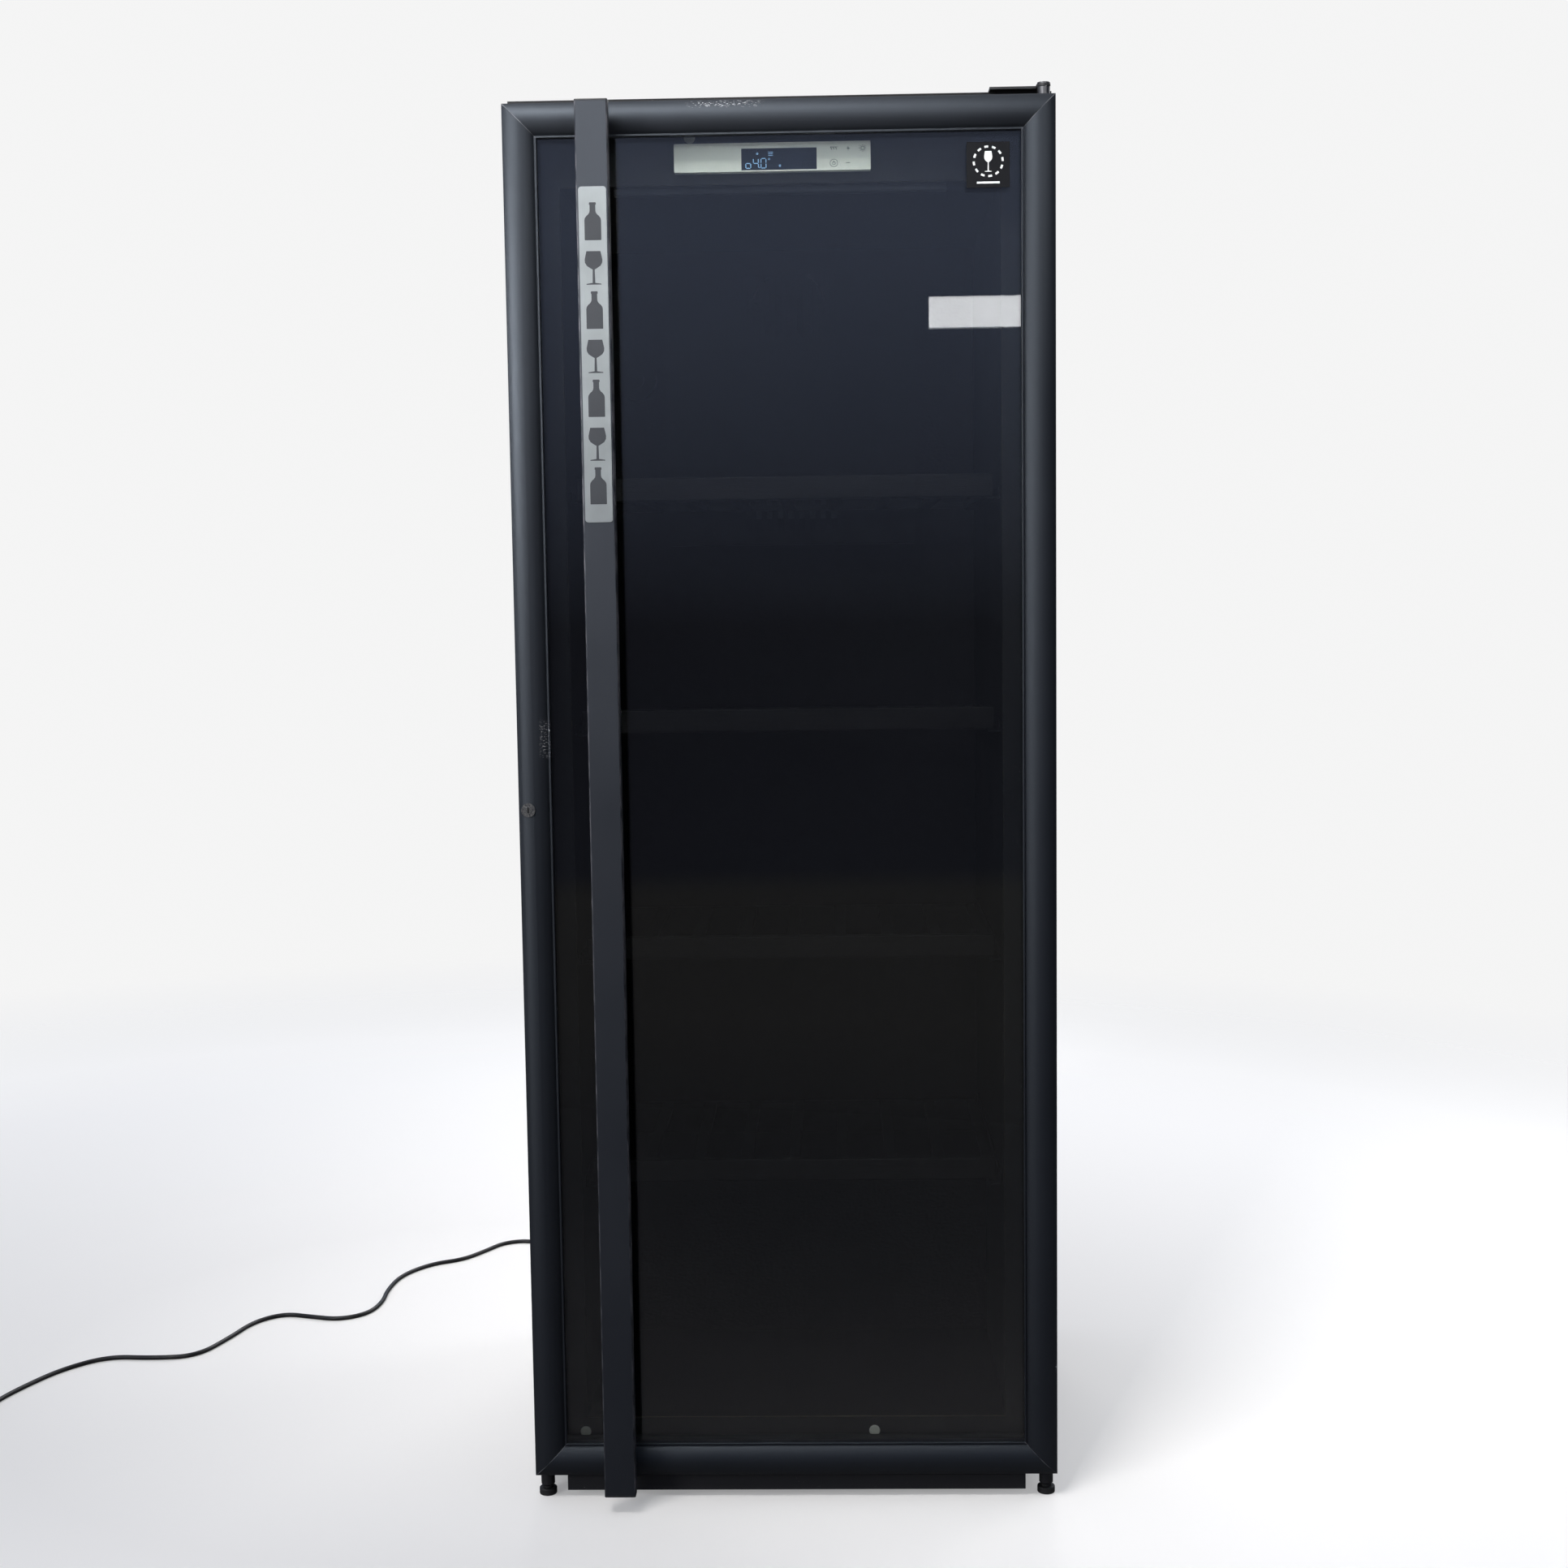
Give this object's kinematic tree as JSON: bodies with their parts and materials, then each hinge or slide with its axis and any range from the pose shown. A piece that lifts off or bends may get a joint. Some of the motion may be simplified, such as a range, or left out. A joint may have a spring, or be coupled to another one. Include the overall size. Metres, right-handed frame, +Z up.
{
  "type": "wine cooler",
  "caption": "Tall black wine cabinet with a full-height glass door in a mitred convex frame, a full-length bar handle, sliding shelves, digital control strip and a mains lead.",
  "frame": {"origin": "on the floor under the middle of the cabinet, handle and wall spacers included, lead not counted", "axes": "+X to the right seen from the front, +Y towards the back, +Z up"},
  "size_m": [1.687, 1.1423, 1.8032],
  "materials": {
    "anodised_black": "satin",
    "casing_paint": "satin",
    "galvanised_steel": "satin",
    "foam": "matte",
    "liner_aluminium": "satin",
    "black_steel": "satin",
    "black_beech": "matte",
    "black_plastic": "matte",
    "foot_plastic": "matte",
    "pale_plastic": "satin",
    "display_window": "gloss",
    "zinc_steel": "satin",
    "copper_tube": "satin",
    "black_rubber": "matte",
    "spacer_aluminium": "satin",
    "tinted_glass": "gloss",
    "brushed_plate": "satin"
  },
  "bodies": {
    "cabinet": {"side_panel_left": "casing_paint", "side_panel_right": "casing_paint", "top_panel": "casing_paint", "back_panel": "galvanised_steel", "base_pan": "galvanised_steel", "front_frame": "casing_paint", "plinth": "casing_paint", "foam_panels": "foam", "inner_liner": "liner_aluminium", "shelf_rails": "black_steel", "evaporator": "galvanised_steel", "duct_cover": "black_plastic", "fan_housing": "black_plastic", "charcoal_filter": "black_plastic", "light_strip": "pale_plastic", "control_panel": "pale_plastic", "control_display": "display_window", "hinge_plate": "casing_paint", "hinge_pins": "zinc_steel", "hinge_screws": "zinc_steel", "foot_brackets": "casing_paint", "rear_feet": "black_plastic", "compressor": "black_steel", "compressor_mounts": "black_rubber", "condenser": "black_steel", "filter_drier": "copper_tube", "refrigerant_line": "copper_tube", "lock_keeper": "casing_paint", "cord_gland": "black_rubber", "power_cord": "black_rubber", "cord_coil": "black_rubber", "power_plug": "black_rubber"},
    "door": {"stile_left": "anodised_black", "stile_right": "anodised_black", "rail_top": "anodised_black", "rail_bottom": "anodised_black", "corner_keys": "black_plastic", "hinge_blocks": "black_plastic", "glass_outer": "tinted_glass", "glass_spacer": "spacer_aluminium", "glass_inner": "tinted_glass", "glazing_bead": "anodised_black", "door_gasket": "black_rubber", "handle_bar": "anodised_black", "handle_caps": "black_plastic", "handle_standoffs": "casing_paint", "nameplate": "brushed_plate", "lock_housing": "zinc_steel"},
    "lock_plug": {"lock_barrel": "zinc_steel"},
    "fan": {"fan_rotor": "black_plastic"},
    "foot_left": {"front_foot_left": "foot_plastic"},
    "foot_right": {"front_foot_right": "foot_plastic"},
    "shelf_1": {"shelf_1_frame": "black_steel", "shelf_1_front": "black_beech"},
    "shelf_2": {"shelf_2_frame": "black_steel", "shelf_2_front": "black_beech"},
    "shelf_3": {"shelf_3_frame": "black_steel", "shelf_3_front": "black_beech"},
    "shelf_4": {"shelf_4_frame": "black_steel", "shelf_4_front": "black_beech"}
  },
  "joints": [
    {"name": "door_hinge", "type": "hinge", "parent": "cabinet", "child": "door", "pos_m": [0.328, -0.29, 0.9], "axis": [0, 0, 1], "range_deg": [0, 110]},
    {"name": "lock_turn", "type": "hinge", "parent": "door", "child": "lock_plug", "pos_m": [-0.327, -0.3, 0.911], "axis": [0, -1, 0], "range_deg": [0, 90]},
    {"name": "fan_spin", "type": "hinge", "parent": "cabinet", "child": "fan", "pos_m": [0, 0.215, 1.6], "axis": [0, 1, 0], "continuous": true},
    {"name": "foot_left_turn", "type": "hinge", "parent": "cabinet", "child": "foot_left", "pos_m": [-0.328, -0.29, 0.01], "axis": [0, 0, 1], "continuous": true},
    {"name": "foot_right_turn", "type": "hinge", "parent": "cabinet", "child": "foot_right", "pos_m": [0.328, -0.29, 0.01], "axis": [0, 0, 1], "continuous": true},
    {"name": "shelf_1_slide", "type": "slide", "parent": "cabinet", "child": "shelf_1", "axis": [0, -1, 0], "range_m": [0, 0.05]},
    {"name": "shelf_2_slide", "type": "slide", "parent": "cabinet", "child": "shelf_2", "axis": [0, -1, 0], "range_m": [0, 0.05]},
    {"name": "shelf_3_slide", "type": "slide", "parent": "cabinet", "child": "shelf_3", "axis": [0, -1, 0], "range_m": [0, 0.05]},
    {"name": "shelf_4_slide", "type": "slide", "parent": "cabinet", "child": "shelf_4", "axis": [0, -1, 0], "range_m": [0, 0.05]}
  ]
}
